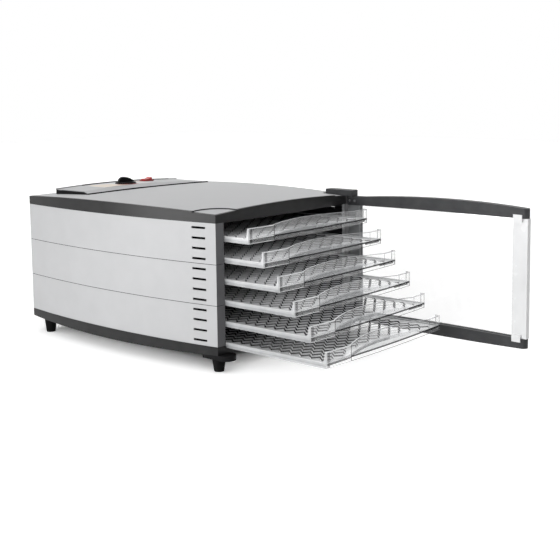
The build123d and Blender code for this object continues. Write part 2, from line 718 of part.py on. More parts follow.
def fan_blades():
    """Axial fan: a hub with pitched, widening blades."""
    middle_y = FAN_Y + FAN_DEPTH / 2
    fan = sided_y(0, 0, -FAN_DEPTH / 2, FAN_DEPTH / 2, FAN_HUB_R, 2 * FAN_BLADES)
    root = FAN_HUB_R - 3
    tip = BLADE_CHORD / 2
    reach = sqrt(FAN_R**2 - tip**2)
    shape = Polyline((-tip / 2, root), (-tip, reach), (tip, reach), (tip / 2, root), close=True)
    blade = extrude(LOOK_FRONT * make_face(shape.edges()), BLADE_T / 2, both=True)
    blade = Rot(0, 0, BLADE_PITCH) * blade
    for i in range(FAN_BLADES):
        fan += Rot(0, 360 * i / FAN_BLADES, 0) * blade
    fan -= rod_y(0, 0, -FAN_DEPTH, FAN_DEPTH, MOTOR_SHAFT_R)
    return Pos(0, middle_y, CAVITY_MID_Z) * fan


def motor_shaft():
    """Motor spindle that carries the fan."""
    return rod_y(0, CAVITY_MID_Z, FAN_Y, MOTOR_Y + MOTOR_L / 2 - SWEEP_GAP, MOTOR_SHAFT_R)


def heater_ring(gap):
    """Open ring of heater bar in front of the fan, thickened by a gap where it cuts a seat."""
    y0 = BAFFLE_Y + BAFFLE_T + HEATER_GAP - gap
    y1 = y0 + HEATER_W + 2 * gap
    half = HEATER_W / 2 + gap
    ring = sided_y(0, CAVITY_MID_Z, y0, y1, HEATER_R + half, HEATER_SIDES)
    ring -= sided_y(0, CAVITY_MID_Z, y0, y1, HEATER_R - half, HEATER_SIDES)
    opening = Rot(0, 60, 0) * Pos(HEATER_R, 0, 0) * Box(4 * HEATER_W, 4 * HEATER_W, HEATER_OPENING)
    return ring - Pos(0, (y0 + y1) / 2, CAVITY_MID_Z) * opening


def heater_brackets():
    """Ceramic clips that hold the heater ring off the baffle."""
    clips = []
    depth = HEATER_GAP + HEATER_W / 2
    for i in range(HEATER_CLIPS):
        turn = Rot(0, 90 + 360 * i / HEATER_CLIPS, 0)
        clip = turn * Pos(HEATER_R, 0, 0) * Box(2 * CLIP_W, depth, CLIP_W)
        clip = Pos(0, BAFFLE_Y + BAFFLE_T + depth / 2, CAVITY_MID_Z) * clip
        clips.append(clip - heater_ring(SEAT_GAP / 2))
    return Compound(children=clips)


def thermal_cutout():
    """Overheat cut-out on the baffle."""
    back = BAFFLE_Y + BAFFLE_T
    return sided_y(CUTOUT_X, CAVITY_MID_Z, back, back + CUTOUT_H, CUTOUT_R)


# Hinge hardware, brackets and feet


def hinge_pins():
    """Two pins that the door turns on, one above it and one below."""
    top = rod(HINGE_X, HINGE_Y, DOOR_HIGH - PIN_ENGAGE, LID_CORNER + KNUCKLE_H / 2, PIN_R)
    bottom = rod(HINGE_X, HINGE_Y, STAND_H - BRACKET_H / 2, DOOR_LOW + PIN_ENGAGE, PIN_R)
    return Compound(children=[top, bottom])


def top_hinge_knuckle():
    """Block on the lid's corner cap that reaches over the door's top pin."""
    x1 = BODY_W / 2
    x0 = x1 - KNUCKLE_W
    front = FRONT_Y - OVERHANG
    face = Pos((x0 + x1) / 2, front + KNUCKLE_L / 2) * Rectangle(KNUCKLE_W, KNUCKLE_L)
    body = prism(face, LID_CORNER - CAP_DROP, LID_CORNER + KNUCKLE_H)
    body = chamfer(body.edges().filter_by(Axis.Z), KNUCKLE_CORNER)
    lid = prism(outline(), LID_BOTTOM, 2 * LID_CORNER) & LID_CROWN
    body -= Pos(0, 0, SEAT_GAP / 2 - CAP_DROP) * lid
    body -= block(x0, x1, front, FRONT_Y, 0, LID_CORNER)
    return body - rod(HINGE_X, HINGE_Y, 0, LID_CORNER + KNUCKLE_H / 2, PIN_R)


def foot_bracket():
    """Round-nosed tongue under the left front corner."""
    half = BRACKET_W / 2
    back = FRONT_Y + BRACKET_BACK
    nose = FRONT_Y - OVERHANG + half
    plan = Pos(-BRACKET_X, (nose + back) / 2) * Rectangle(BRACKET_W, back - nose)
    plan += Pos(-BRACKET_X, nose) * Circle(half)
    tongue = prism(plan, STAND_H - BRACKET_H, STAND_H)
    return tongue - Pos(0, 0, -SEAT_GAP / 2) * base_solid()


def right_foot_bracket():
    """The same tongue on the right, bored for the lower hinge pin."""
    low = STAND_H - BRACKET_H / 2
    return other_side(foot_bracket()) - rod(HINGE_X, HINGE_Y, low, 2 * STAND_H, PIN_R)


def foot(x, y, height):
    """One tapered rubber foot."""
    spread = degrees(atan((FOOT_TOP_R - FOOT_BOTTOM_R) / height))
    return Pos(x, y, 0) * extrude(RegularPolygon(FOOT_BOTTOM_R, FOOT_SIDES), height, taper=-spread)


def rubber_feet():
    """Two feet under the front brackets and two under the base."""
    feet = []
    for side in (-1, 1):
        feet.append(foot(side * FOOT_X, FOOT_FRONT_Y, STAND_H - BRACKET_H))
        feet.append(foot(side * FOOT_X, FOOT_REAR_Y, REAR_FOOT_H))
    return Compound(children=feet)


# Door, modelled shut and then swung open about its pins


def door_point(x, offset):
    """A point on the door's bowed middle line, moved out from the cabinet by an offset."""
    return (x, DOOR_CENTRE_Y - sqrt((DOOR_RADIUS + offset) ** 2 - (x - DOOR_MID_X) ** 2))


def door_band(x0, x1, inner, outer):
    """Plan of a bowed strip of the door between two offsets."""
    middle = (x0 + x1) / 2
    edges = [
        ThreePointArc(door_point(x0, inner), door_point(middle, inner), door_point(x1, inner)),
        Line(door_point(x1, inner), door_point(x1, outer)),
        ThreePointArc(door_point(x1, outer), door_point(middle, outer), door_point(x0, outer)),
        Line(door_point(x0, outer), door_point(x0, inner)),
    ]
    return make_face(edges)


def swung(shape):
    """The shape turned to where the open door holds it."""
    return shape.rotate(HINGE_AXIS, DOOR_OPEN)


def rail_plan():
    """Plan of a door rail: a bowed bar with a round hinge end and a round free end."""
    half = DOOR_T / 2
    bar = door_band(FREE_X + half, HINGE_X, -half, half)
    end = Pos(*door_point(FREE_X + half, 0)) * Circle(half)
    return bar + Pos(HINGE_X, HINGE_Y) * Circle(half) + end


def bowed(start, end, rise):
    """Line between two points of one level, bent up by a rise where there is one."""
    middle = ((start[0] + end[0]) / 2, start[1] + rise)
    return ThreePointArc(start, middle, end) if rise else Line(start, end)


def arched(low, high, rise, dip):
    """A tall sheet of space whose top arches up by rise and whose foot arches down by dip."""
    x0, x1 = FREE_X - DOOR_GAP, HINGE_X + DOOR_T
    flat = HINGE_X - HINGE_FLAT
    edges = [
        bowed((x0, low), (flat, low), -dip),
        Line((flat, low), (x1, low)),
        Line((x1, low), (x1, high)),
        Line((x1, high), (flat, high)),
        bowed((flat, high), (x0, high), rise),
        Line((x0, high), (x0, low)),
    ]
    depth = 4 * DOOR_T + 2 * DOOR_BOW
    return Pos(0, HINGE_Y + depth / 2, 0) * extrude(LOOK_FRONT * make_face(edges), depth)


def panel_slot():
    """Groove that the clear panel, stile and handle sit in."""
    half = PANEL_T / 2 + SEAT_GAP
    return door_band(FREE_X + SEAT_GAP, HINGE_X - PIN_R * 2, -half, half)


def door_top_rail():
    """Upper rail, crowned like the lid, bored for the top pin."""
    low = DOOR_HIGH - RAIL_H
    rail = prism(rail_plan(), low, DOOR_HIGH + RAIL_RISE) & arched(low, DOOR_HIGH, RAIL_RISE, 0)
    rail -= prism(panel_slot(), low, low + PANEL_SEAT + SEAT_GAP)
    rail -= rod(HINGE_X, HINGE_Y, DOOR_HIGH - PIN_ENGAGE - SWEEP_GAP, 2 * DOOR_HIGH, PIN_R + RUN_GAP)
    return swung(rail)


def door_bottom_rail():
    """Lower rail, bellied like the base, bored for the bottom pin."""
    high = DOOR_LOW + RAIL_H
    rail = prism(rail_plan(), DOOR_LOW - RAIL_DIP, high) & arched(DOOR_LOW, high, 0, RAIL_DIP)
    rail -= prism(panel_slot(), high - PANEL_SEAT - SEAT_GAP, high)
    rail -= rod(HINGE_X, HINGE_Y, 0, DOOR_LOW + PIN_ENGAGE + SWEEP_GAP, PIN_R + RUN_GAP)
    return swung(rail)


def door_panel():
    """Clear bowed window, held in the rails, the stile and the handle."""
    low = DOOR_LOW + RAIL_H - PANEL_SEAT
    high = DOOR_HIGH - RAIL_H + PANEL_SEAT
    half = PANEL_T / 2
    x0 = FREE_X + HANDLE_W - PANEL_SEAT
    x1 = HINGE_X - STILE_W + PANEL_SEAT
    return swung(prism(door_band(x0, x1, -half, half), low, high))


def door_hinge_stile():
    """Grey upright next to the hinge, grooved for the panel's edge."""
    low, high = DOOR_LOW + RAIL_H, DOOR_HIGH - RAIL_H
    half = STILE_T / 2
    groove = PANEL_T / 2 + SEAT_GAP
    stile = prism(door_band(HINGE_X - STILE_W, HINGE_X, -half, half), low, high)
    stile += prism(Pos(HINGE_X, HINGE_Y) * Circle(half), low, high)
    edge = HINGE_X - STILE_W
    return swung(stile - prism(door_band(edge - 1, edge + PANEL_SEAT + SEAT_GAP, -groove, groove), low, high))


def door_handle():
    """Pale grip strip along the free edge, with tabs that clip over the rails."""
    low, high = DOOR_LOW + RAIL_H, DOOR_HIGH - RAIL_H
    half = HANDLE_T / 2
    edge = FREE_X + HANDLE_W
    groove = PANEL_T / 2 + SEAT_GAP
    strip = prism(door_band(FREE_X, edge, -half, half), low, high)
    strip -= prism(door_band(edge - PANEL_SEAT - SEAT_GAP, edge + 1, -groove, groove), low, high)
    tab_x = edge - HANDLE_TAB_W
    face = DOOR_T / 2 + SEAT_GAP / 2
    for z0, z1 in ((low - HANDLE_TAB_H, low + HANDLE_TAB_H), (high - HANDLE_TAB_H, high + HANDLE_TAB_H)):
        tab = prism(door_band(tab_x, edge - 2, -face - HANDLE_TAB_T, -face), z0, z1)
        strip += tab
    for z0, z1 in ((low, low + HANDLE_TAB_H), (high - HANDLE_TAB_H, high)):
        strip += prism(door_band(tab_x, edge - 2, -face, -half + 1), z0, z1)
    return swung(strip)


def door_screws():
    """Screws through the rails into the hinge ends, two in each rail."""
    heads = []
    for z in (DOOR_LOW + RAIL_H / 2, DOOR_HIGH - RAIL_H / 2):
        for x in (HINGE_X - SCREW_R, HINGE_X - SCREW_R - SCREW_PITCH):
            seat = max(door_point(x + side * SCREW_R, -DOOR_T / 2)[1] for side in (-1, 1))
            heads.append(sided_y(x, z, seat, seat + SCREW_HEAD_H, SCREW_R))
    return swung(Compound(children=heads))


# Trays, modelled home and then drawn out


def tray_outline(inset=0.0):
    """Plan of a tray with a slightly bowed front, front corners at y = 0."""
    x = TRAY_HALF - inset
    edges = [
        ThreePointArc((-x, inset), (0, inset - TRAY_BOW), (x, inset)),
        Line((x, inset), (x, TRAY_D - inset)),
        Line((x, TRAY_D - inset), (-x, TRAY_D - inset)),
        Line((-x, TRAY_D - inset), (-x, inset)),
    ]
    return make_face(edges)


def finger_recess():
    """The hollow in front of the lip, between the two tabs, where fingers reach the tray."""
    left = TRAY_TAB_LEFT - TRAY_HALF
    right = TRAY_HALF - TRAY_TAB_RIGHT
    front = -2 * TRAY_BOW
    tip = -TRAY_BOW / 2
    wall = ThreePointArc((left, tip), ((left + right) / 2, TRAY_RECESS - TRAY_BOW), (right, tip))
    mouth = Polyline((right, tip), (right, front), (left, front), (left, tip))
    return make_face([wall, *mouth.edges()])


def tray_frame():
    """Clear frame: side rails, rear rail, front ledge and the tall lip with its finger recess."""
    frame = prism(tray_outline() - tray_outline(TRAY_WALL), 0, TRAY_RAIL_H)
    front = Pos(0, TRAY_RECESS / 2 - TRAY_BOW) * Rectangle(2 * TRAY_HALF, TRAY_RECESS + 2 * TRAY_BOW)
    ledge = tray_outline() & front
    frame += prism(ledge, TRAY_RAIL_H - TRAY_LEDGE_T, TRAY_RAIL_H)
    walled = tray_outline() - finger_recess()
    lip = walled - Pos(0, TRAY_WALL) * walled
    lip &= Pos(0, TRAY_RECESS / 2) * Rectangle(2 * TRAY_HALF, 2 * TRAY_RECESS)
    return frame + prism(lip, TRAY_RAIL_H - TRAY_LEDGE_T, TRAY_LIP_H)


def floor_slot(x, y, slant):
    """One slanted slot of a zigzag strip."""
    half = (FLOOR_PITCH_Y - SLOT_RIB) / 2
    lean = slant * SLOT_SHIFT / 2
    near, far = x - lean, x + lean
    wide = SLOT_W / 2
    corners = [(near - wide, y - half), (near + wide, y - half)]
    corners += [(far + wide, y + half), (far - wide, y + half)]
    return make_face(Polyline(*corners, close=True).edges())


FLOOR_FRONT = TRAY_RECESS
FLOOR_BACK = TRAY_D - TRAY_WALL
FLOOR_PITCH_X = 2 * (TRAY_HALF - TRAY_WALL) / SLOT_COLUMNS
FLOOR_PITCH_Y = (FLOOR_BACK - FLOOR_FRONT) / SLOT_ROWS


def tray_floor():
    """Grille of zigzag strips that lies inside the frame, behind the ledge."""
    half = TRAY_HALF - TRAY_WALL
    top = TRAY_RAIL_H - FLOOR_DROP
    face = Pos(0, (FLOOR_FRONT + FLOOR_BACK) / 2) * Rectangle(2 * half, FLOOR_BACK - FLOOR_FRONT)
    slots = []
    for column in range(SLOT_COLUMNS):
        x = (column - (SLOT_COLUMNS - 1) / 2) * FLOOR_PITCH_X
        for row in range(SLOT_ROWS):
            y = FLOOR_FRONT + (row + 0.5) * FLOOR_PITCH_Y
            slots.append(floor_slot(x, y, 1 if row % 2 else -1))
    return prism(face - slots, top - FLOOR_T, top)


def tray_place(index):
    """Where a tray stands when drawn out."""
    home = FRONT_Y + TRAY_HOME_INSET
    pull = TRAY_FIRST_PULL + index * TRAY_PULL_STEP
    return Pos(0, home - pull, tray_level(index))


# Every piece by name

pieces = {
    "base_tray": base_tray(),
    "left_runner_liner": left_liner(),
    "right_runner_liner": other_side(left_liner()),
    "lid_rim": lid_rim(),
    "lid_top_panel": lid_top_panel(),
    "front_corner_caps": Compound(children=[corner_cap(), other_side(corner_cap())]),
    "inner_deck": inner_deck(),
    "control_housing": control_housing(),
    "control_faceplate": control_faceplate(),
    "dial_scale_plate": dial_scale_plate(),
    "rocker_bezel": rocker_bezel(),
    "switch_body": switch_body(),
    "thermostat_body": thermostat_body(),
    "air_baffle": air_baffle(),
    "rear_cover": rear_cover(),
    "rear_cover_screws": rear_cover_screws(),
    "cord_gland": cord_gland(),
    "terminal_block": terminal_block(),
    "fan_motor": fan_motor(),
    "motor_bracket": motor_bracket(),
    "heater_element": heater_ring(0),
    "heater_brackets": heater_brackets(),
    "thermal_cutout": thermal_cutout(),
    "left_foot_bracket": foot_bracket(),
    "right_foot_bracket": right_foot_bracket(),
    "rubber_feet": rubber_feet(),
    "top_hinge_knuckle": top_hinge_knuckle(),
    "hinge_pins": hinge_pins(),
    "door_top_rail": door_top_rail(),
    "door_bottom_rail": door_bottom_rail(),
    "door_panel": door_panel(),
    "door_hinge_stile": door_hinge_stile(),
    "door_handle": door_handle(),
    "door_screws": door_screws(),
    "control_knob": control_knob(),
    "thermostat_shaft": thermostat_shaft(),
    "power_rocker": power_rocker(),
    "fan_blades": fan_blades(),
    "motor_shaft": motor_shaft(),
}
for section, name in enumerate(("lower", "middle", "upper")):
    panel = left_panel(section)
    pieces[f"left_panel_{name}"] = panel
    pieces[f"right_panel_{name}"] = other_side(panel)
frame_shape = tray_frame()
floor_shape = tray_floor()
for index in range(TRAYS):
    pieces[f"tray_{index + 1}_frame"] = tray_place(index) * frame_shape
    pieces[f"tray_{index + 1}_floor"] = tray_place(index) * floor_shape

os.makedirs("parts", exist_ok=True)
for name, shape in pieces.items():
    export_step(shape, f"parts/{name}.step")
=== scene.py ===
import json
import math

import bmesh
import bpy
from mathutils import Matrix, Vector


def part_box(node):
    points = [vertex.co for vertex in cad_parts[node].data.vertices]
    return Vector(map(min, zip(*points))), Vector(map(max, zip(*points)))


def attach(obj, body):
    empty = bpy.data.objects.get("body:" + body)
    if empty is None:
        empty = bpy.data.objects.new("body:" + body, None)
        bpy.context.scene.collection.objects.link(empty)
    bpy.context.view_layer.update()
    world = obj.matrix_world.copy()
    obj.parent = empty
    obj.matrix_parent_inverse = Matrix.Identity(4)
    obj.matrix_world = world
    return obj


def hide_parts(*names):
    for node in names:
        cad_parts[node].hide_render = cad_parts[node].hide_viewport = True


# Looks of a front-loading food dehydrator, in metres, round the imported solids

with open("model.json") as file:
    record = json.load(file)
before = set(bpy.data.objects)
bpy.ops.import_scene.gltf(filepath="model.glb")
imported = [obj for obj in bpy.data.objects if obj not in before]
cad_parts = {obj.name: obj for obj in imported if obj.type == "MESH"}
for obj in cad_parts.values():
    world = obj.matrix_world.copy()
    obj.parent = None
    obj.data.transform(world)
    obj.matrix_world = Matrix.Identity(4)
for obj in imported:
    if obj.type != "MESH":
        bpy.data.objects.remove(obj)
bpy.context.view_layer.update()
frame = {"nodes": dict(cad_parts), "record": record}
MM = 0.001

# Camera, solved from the photograph
EYE = (-1.298975, -1.342075, 0.446808)
YAW = 0.860
PITCH = 0.114
ROLL = -0.012
FOCAL_PX = 1022.325
CENTRE_PX = (279.95, 204.03)
FRAME_PX = 560
SENSOR = 36.0

# Frame of a tray: rails at the sides and rear, a higher lip with two tabs and a finger recess in front
TRAYS = 6
TRAY_W = 310.0 * MM
TRAY_D = 362.0 * MM
HALF = TRAY_W / 2
RAIL_H = 8.5 * MM
RAIL_RIM = 4.0 * MM
LIP_H = 24.5 * MM
WALL = 2.4 * MM
TRAY_BOW = 5.0 * MM
RECESS = 27.0 * MM
LEDGE_T = 2.5 * MM
TAB_LEFT = 57.0 * MM
TAB_RIGHT = 36.0 * MM
TAB_RETURN = 8.0 * MM
GUSSET_TOP = 2.0 * MM
MOUTH_LEFT = TAB_LEFT - HALF
MOUTH_RIGHT = HALF - TAB_RIGHT

# Painted highlights and painted shade: bright and dark lines on the front of a tray
POST_W = 3.0 * MM
CORNER_SHADE_W = 6.0 * MM
LINE_W = 1.3 * MM
LINE_H = 1.0 * MM
LINE_LIFT = 0.1 * MM

# Floor of a tray: slots side by side, each a zigzag from the rear to the front
FLOOR_TOP = 6.5 * MM
FLOOR_T = 4.2 * MM
FLOOR_EDGE = 5.0 * MM
STRIP_STEP = Vector((14.8, 10.05)) * MM
ZIG = Vector((11.6, -7.7)) * MM
ZAG = Vector((-11.6, -12.4)) * MM
ZAG_EXTRA = 0.9 * MM
STRIP_W = STRIP_STEP * 0.5 + ZIG.normalized() * ZAG_EXTRA
LEAST_ZAG = 0.1

# Walls of the slots, with painted light and shade: paler in the upper trays, and clearer from one x to
# another
TOP_SLOT_SHADE = 0.6
LOW_SLOT_SHADE = 0.06
SHADE_LOW = 0.9
SHADE_HIGH = 1.1
SHADE_BLUE = 1.03
SLOT_COVER = 0.85
CLEAR_COVER = 0.05
CLEAR_FROM = -20.0 * MM
CLEAR_TO = 90.0 * MM

# Body and console
BODY_W = 346.0 * MM
BODY_D = 480.0 * MM
SIDE_BULGE = 18.0 * MM
PANEL_POST = 16.5 * MM
POST_BOW = 1.4 * MM
SEAM_H = 0.9 * MM
SEAM_DEPTH = 0.3 * MM
ARCH_PEAK = -20.0 * MM
ARCH_R = 2600.0 * MM
PRINT_LIFT = 0.1 * MM
PRINT_MARGIN = 1.0 * MM
CONSOLE_TRIM = (-79.0 * MM, 143.0 * MM, 190.0 * MM)

# Steps along curved lines
TAB_STEPS = 6
MOUTH_STEPS = 24
RECESS_STEPS = 32
GUSSET_STEPS = 8
FLOOR_STEPS = 60
SIDE_STEPS = 32
RING_STEPS = 14
SPOKE_STEPS = 4
LEAST_SPOKE = 0.01

# Direction of a face where its change of colour starts and ends: towards the front for the painted shade, and
# away from the left
FRONT_FACING = (-0.85, -0.97)
LEFT_FACING = (-0.7, -0.5)

# Direction of a face of the tray floor from which it counts as level, or as a wall along a zig
LEVEL_FACING = 0.5
ZIG_FACING = 0.9

# Ends of the colour ramps, scale of the streaks in clear plastic and strength of the grain
RAMP_ENDS = (0.3, 0.7)
STREAK_SCALE = 45.0
GRAIN_STRENGTH = 0.35

# Suns: direction towards it, strength and spread
OVERHEAD = (-0.2, 0.1, 1.0)
TOP_SUN = (OVERHEAD, 2.0, 1.0)
GROUND_SUN = (OVERHEAD, 2.0, 1.9)
LEFT_SUN = ((-1.0, 0.3, 0.2), 0.7, 0.25)
TRAY_SUN = ((0.1, -1.0, 1.15), 2.5, 1.1)

# Lamps: place, target, size and power
SOFTBOX = ((-1.1, -0.1, 0.18), (-0.18, -0.08, 0.15), 0.5, 4.2)
GLINT = ((-1.02, 0.42, 0.1), (-0.18, -0.15, 0.24), 0.45, 5.0)

# Floor and surroundings: the floor's lift to white is full and none at two distances inside the body's edge,
# so the ground under the body keeps a painted shadow
FLOOR_REACH = 6.0
FLOOR_DROP = 0.5 * MM
FLOOR_TONE = 0.9
FLOOR_ROUGH = 0.9
FLOOR_LIFT = 0.36
LIFT_FULL = 10.0 * MM
LIFT_NONE = 60.0 * MM
WORLD_LIGHT = 0.22
WORLD_WHITE = 1.0


def add_object(name, data):
    """Links a new object for a mesh, curve, lamp or camera."""
    piece = bpy.data.objects.new(name, data)
    bpy.context.scene.collection.objects.link(piece)
    return piece


# Nodes that the materials share


def new_material(name):
    """An empty node material and its principled shader."""
    material = bpy.data.materials.new(name)
    material.use_nodes = True
    return material, material.node_tree, material.node_tree.nodes["Principled BSDF"]


def add_noise(tree, scale):
    """A noise texture on object coordinates."""
    place = tree.nodes.new("ShaderNodeTexCoord")
    noise = tree.nodes.new("ShaderNodeTexNoise")
    noise.inputs["Scale"].default_value = scale
    tree.links.new(place.outputs["Object"], noise.inputs["Vector"])
    return noise.outputs["Fac"]


def add_span(tree, source, start, end, low=0.0, high=1.0):
    """A value carried from one range to another, and held at the ends."""
    span = tree.nodes.new("ShaderNodeMapRange")
    span.inputs["From Min"].default_value = start
    span.inputs["From Max"].default_value = end
    span.inputs["To Min"].default_value = low
    span.inputs["To Max"].default_value = high
    tree.links.new(source, span.inputs["Value"])
    return span.outputs["Result"]


def add_math(tree, operation, *sources):
    """A value worked out from one or two others."""
    node = tree.nodes.new("ShaderNodeMath")
    node.operation = operation
    for source, socket in zip(sources, node.inputs):
        tree.links.new(source, socket)
    return node.outputs["Value"]


def add_axes(tree, kind, output):
    """The X, Y and Z of a place or a direction."""
    source = tree.nodes.new(kind)
    parts = tree.nodes.new("ShaderNodeSeparateXYZ")
    tree.links.new(source.outputs[output], parts.inputs["Vector"])
    return parts.outputs


def add_colour(tree, shader, source, low, high):
    """Colour that wanders between two colours."""
    ramp = tree.nodes.new("ShaderNodeValToRGB")
    for element, position, colour in zip(ramp.color_ramp.elements, RAMP_ENDS, (low, high)):
        element.position = position
        element.color = (*colour, 1)
    tree.links.new(source, ramp.inputs["Fac"])
    tree.links.new(ramp.outputs["Color"], shader.inputs["Base Color"])


def add_roughness(tree, shader, source, low, high):
    """Roughness that wanders between two values."""
    tree.links.new(add_span(tree, source, 0.0, 1.0, low, high), shader.inputs["Roughness"])


def add_grain(tree, shader, scale, depth):
    """A fine grain in the surface."""
    bump = tree.nodes.new("ShaderNodeBump")
    bump.inputs["Strength"].default_value = GRAIN_STRENGTH
    bump.inputs["Distance"].default_value = depth
    tree.links.new(add_noise(tree, scale), bump.inputs["Height"])
    tree.links.new(bump.outputs["Normal"], shader.inputs["Normal"])


# Kinds of finish


def textured(name, low, high, rough, shine=0.5, scale=40, grain=1500, depth=0.04 * MM, metallic=0.0):
    """A solid finish with slight colour variation, uneven gloss and a fine grain."""
    material, tree, shader = new_material(name)
    broad = add_noise(tree, scale)
    add_colour(tree, shader, broad, low, high)
    add_roughness(tree, shader, broad, *rough)
    add_grain(tree, shader, grain, depth)
    shader.inputs["Metallic"].default_value = metallic
    shader.inputs["Specular IOR Level"].default_value = shine
    return material


def repaint(material, mask, colour):
    """Puts another colour on a finish where a mask is 1."""
    tree = material.node_tree
    base = tree.nodes["Principled BSDF"].inputs["Base Color"]
    paint = base.links[0].from_socket
    blend = tree.nodes.new("ShaderNodeMix")
    blend.data_type = "RGBA"
    blend.inputs["B"].default_value = (*colour, 1)
    tree.links.new(mask, blend.inputs["Factor"])
    tree.links.new(paint, blend.inputs["A"])
    tree.links.new(blend.outputs["Result"], base)


def painted_front_shade(material, colour):
    """Gives the faces of a finish that look straight forward another colour, as painted shade."""
    tree = material.node_tree
    facing = add_axes(tree, "ShaderNodeNewGeometry", "Normal")
    repaint(material, add_span(tree, facing["Y"], *FRONT_FACING), colour)


def silver_ends(material, left, right, rear, colour):
    """Gives the two ends of a finish another colour along its rear, apart from faces that look left."""
    tree = material.node_tree
    spot = add_axes(tree, "ShaderNodeTexCoord", "Object")
    facing = add_axes(tree, "ShaderNodeNewGeometry", "Normal")
    left_end = add_span(tree, spot["X"], left, left - MM)
    right_end = add_span(tree, spot["X"], right, right + MM)
    at_rear = add_span(tree, spot["Y"], rear, rear + MM)
    not_left = add_span(tree, facing["X"], *LEFT_FACING)
    ends = add_math(tree, "MAXIMUM", left_end, right_end)
    rear_ends = add_math(tree, "MULTIPLY", ends, at_rear)
    repaint(material, add_math(tree, "MULTIPLY", rear_ends, not_left), colour)


def clear_plastic(name, low, high, cover, rough, glance=0.1):
    """Thin clear plastic: see-through, with some body colour and more shine at a glancing angle."""
    material, tree, shader = new_material(name)
    streaks = add_noise(tree, STREAK_SCALE)
    add_colour(tree, shader, streaks, low, high)
    shader.inputs["Specular IOR Level"].default_value = 0.0
    through = tree.nodes.new("ShaderNodeBsdfTransparent")
    body = tree.nodes.new("ShaderNodeMixShader")
    body.name = "body"
    body.inputs["Fac"].default_value = cover
    tree.links.new(through.outputs["BSDF"], body.inputs[1])
    tree.links.new(shader.outputs["BSDF"], body.inputs[2])
    shine = tree.nodes.new("ShaderNodeBsdfGlossy")
    add_roughness(tree, shine, streaks, *rough)
    edge = tree.nodes.new("ShaderNodeLayerWeight")
    edge.inputs["Blend"].default_value = glance
    skin = tree.nodes.new("ShaderNodeMixShader")
    tree.links.new(edge.outputs["Facing"], skin.inputs["Fac"])
    tree.links.new(body.outputs["Shader"], skin.inputs[1])
    tree.links.new(shine.outputs["BSDF"], skin.inputs[2])
    tree.links.new(skin.outputs["Shader"], tree.nodes["Material Output"].inputs["Surface"])
    return material


def slot_walls(level):
    """Finish of the slots' walls in one tray, counted from the top: painted light in the upper trays fading
    to painted shade in the lower ones, and clearer towards larger x.
    """
    fall = math.cos(math.pi / 2 * level / (TRAYS - 1)) ** 2
    shade = LOW_SLOT_SHADE + (TOP_SLOT_SHADE - LOW_SLOT_SHADE) * fall
    low, high = [(tone, tone, tone * SHADE_BLUE) for tone in (shade * SHADE_LOW, shade * SHADE_HIGH)]
    material = clear_plastic(f"slot_walls_{level + 1}", low, high, SLOT_COVER, (0.2, 0.3), glance=0.03)
    tree = material.node_tree
    spot = add_axes(tree, "ShaderNodeTexCoord", "Object")
    cover = add_span(tree, spot["X"], CLEAR_FROM, CLEAR_TO, SLOT_COVER, CLEAR_COVER)
    tree.links.new(cover, tree.nodes["body"].inputs["Fac"])
    return material


# Finishes of the body

INK = ((0.008, 0.008, 0.0085), (0.012, 0.012, 0.0125))
SILVER = textured(
    "silver_paint", (0.445, 0.448, 0.455), (0.465, 0.468, 0.475), (0.42, 0.5),
    shine=0.3, scale=30, grain=2400, depth=0.02 * MM)
# Painted shade: the silver faces that look straight forward, such as the front posts, are darker
painted_front_shade(SILVER, (0.12, 0.12, 0.125))
BLACK = textured("black_plastic", *INK, (0.3, 0.42), shine=0.05)
CONSOLE_BLACK = textured("console_black", *INK, (0.3, 0.42), shine=0.05)
silver_ends(CONSOLE_BLACK, *CONSOLE_TRIM, (0.455, 0.458, 0.465))
RIM_BLACK = textured(
    "rim_black", (0.016, 0.016, 0.0165), (0.022, 0.022, 0.0225), (0.26, 0.36), shine=0.15)
DOOR_BLACK = textured(
    "door_black", (0.03, 0.031, 0.033), (0.045, 0.046, 0.048), (0.4, 0.5), shine=0.25, depth=0.05 * MM)
INNER = textured(
    "inner_black", (0.008, 0.008, 0.009), (0.012, 0.012, 0.013), (0.45, 0.55), shine=0.2, depth=0.06 * MM)
GREY = textured("grey_plastic", (0.20, 0.205, 0.21), (0.25, 0.255, 0.26), (0.3, 0.4), shine=0.3)
PALE = textured(
    "pale_plastic", (0.77, 0.775, 0.78), (0.81, 0.815, 0.82), (0.22, 0.3), grain=900, depth=0.03 * MM)
RUBBER = textured(
    "rubber", (0.006, 0.006, 0.006), (0.011, 0.011, 0.011), (0.7, 0.85),
    shine=0.04, scale=60, grain=1200, depth=0.08 * MM)
RED = textured(
    "red_plastic", (0.58, 0.035, 0.03), (0.66, 0.05, 0.045), (0.12, 0.2),
    scale=60, grain=900, depth=0.02 * MM)
BEZEL_RED = textured(
    "bezel_red", (0.30, 0.02, 0.018), (0.36, 0.03, 0.026), (0.2, 0.3), scale=60, grain=900, depth=0.02 * MM)
STEEL = textured(
    "steel", (0.62, 0.62, 0.63), (0.72, 0.72, 0.73), (0.25, 0.4),
    scale=80, grain=1800, depth=0.03 * MM, metallic=1.0)
INSULATOR = textured(
    "insulator", (0.68, 0.66, 0.6), (0.74, 0.72, 0.67), (0.55, 0.7), scale=80, grain=1400, depth=0.05 * MM)
SEAM = textured(
    "seam_shade", (0.03, 0.03, 0.031), (0.045, 0.045, 0.046), (0.6, 0.7),
    shine=0.1, scale=60, grain=1200, depth=0.02 * MM)

# Finishes of the dial's print

PRINT = textured(
    "printed_scale", (0.57, 0.57, 0.58), (0.61, 0.61, 0.62), (0.3, 0.4),
    shine=0.3, grain=900, depth=0.02 * MM)
CREAM = textured(
    "cream_print", (0.72, 0.63, 0.54), (0.76, 0.67, 0.58), (0.35, 0.45),
    shine=0.2, scale=60, grain=900, depth=0.01 * MM)
PEACH = textured(
    "peach_print", (0.58, 0.40, 0.34), (0.62, 0.44, 0.38), (0.35, 0.45),
    shine=0.2, scale=60, grain=900, depth=0.01 * MM)

# Finishes of the clear pieces

